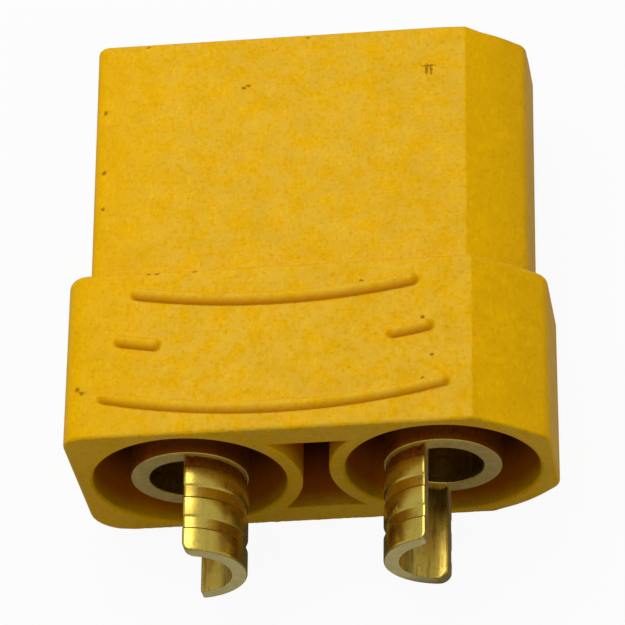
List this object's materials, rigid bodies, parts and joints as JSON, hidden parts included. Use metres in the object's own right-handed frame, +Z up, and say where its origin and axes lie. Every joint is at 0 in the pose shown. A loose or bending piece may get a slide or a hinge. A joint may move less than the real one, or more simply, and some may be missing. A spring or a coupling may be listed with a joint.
{
  "type": "two-pole battery lead connector, socket half",
  "caption": "Moulded connector half with a stepped, corner-chamfered nose and turned socket contacts that end in solder cups with half-round tongues.",
  "frame": {"origin": "centre of the bounding box's underside, where the part lies on its lower raised bars", "axes": "+Y along the contacts, from the wire end to the mating end; +X along the row of contacts, towards the chamfered corners; +Z up through the thickness"},
  "size_m": [0.0206, 0.024, 0.0098],
  "materials": {
    "housing_plastic": "moulded, lightly mottled, soft sheen",
    "contact_metal": "turned and plated, cut faces dull"
  },
  "bodies": {
    "root": {"housing": "housing_plastic", "square_end_contact": "contact_metal", "chamfered_end_contact": "contact_metal"}
  },
  "joints": []
}
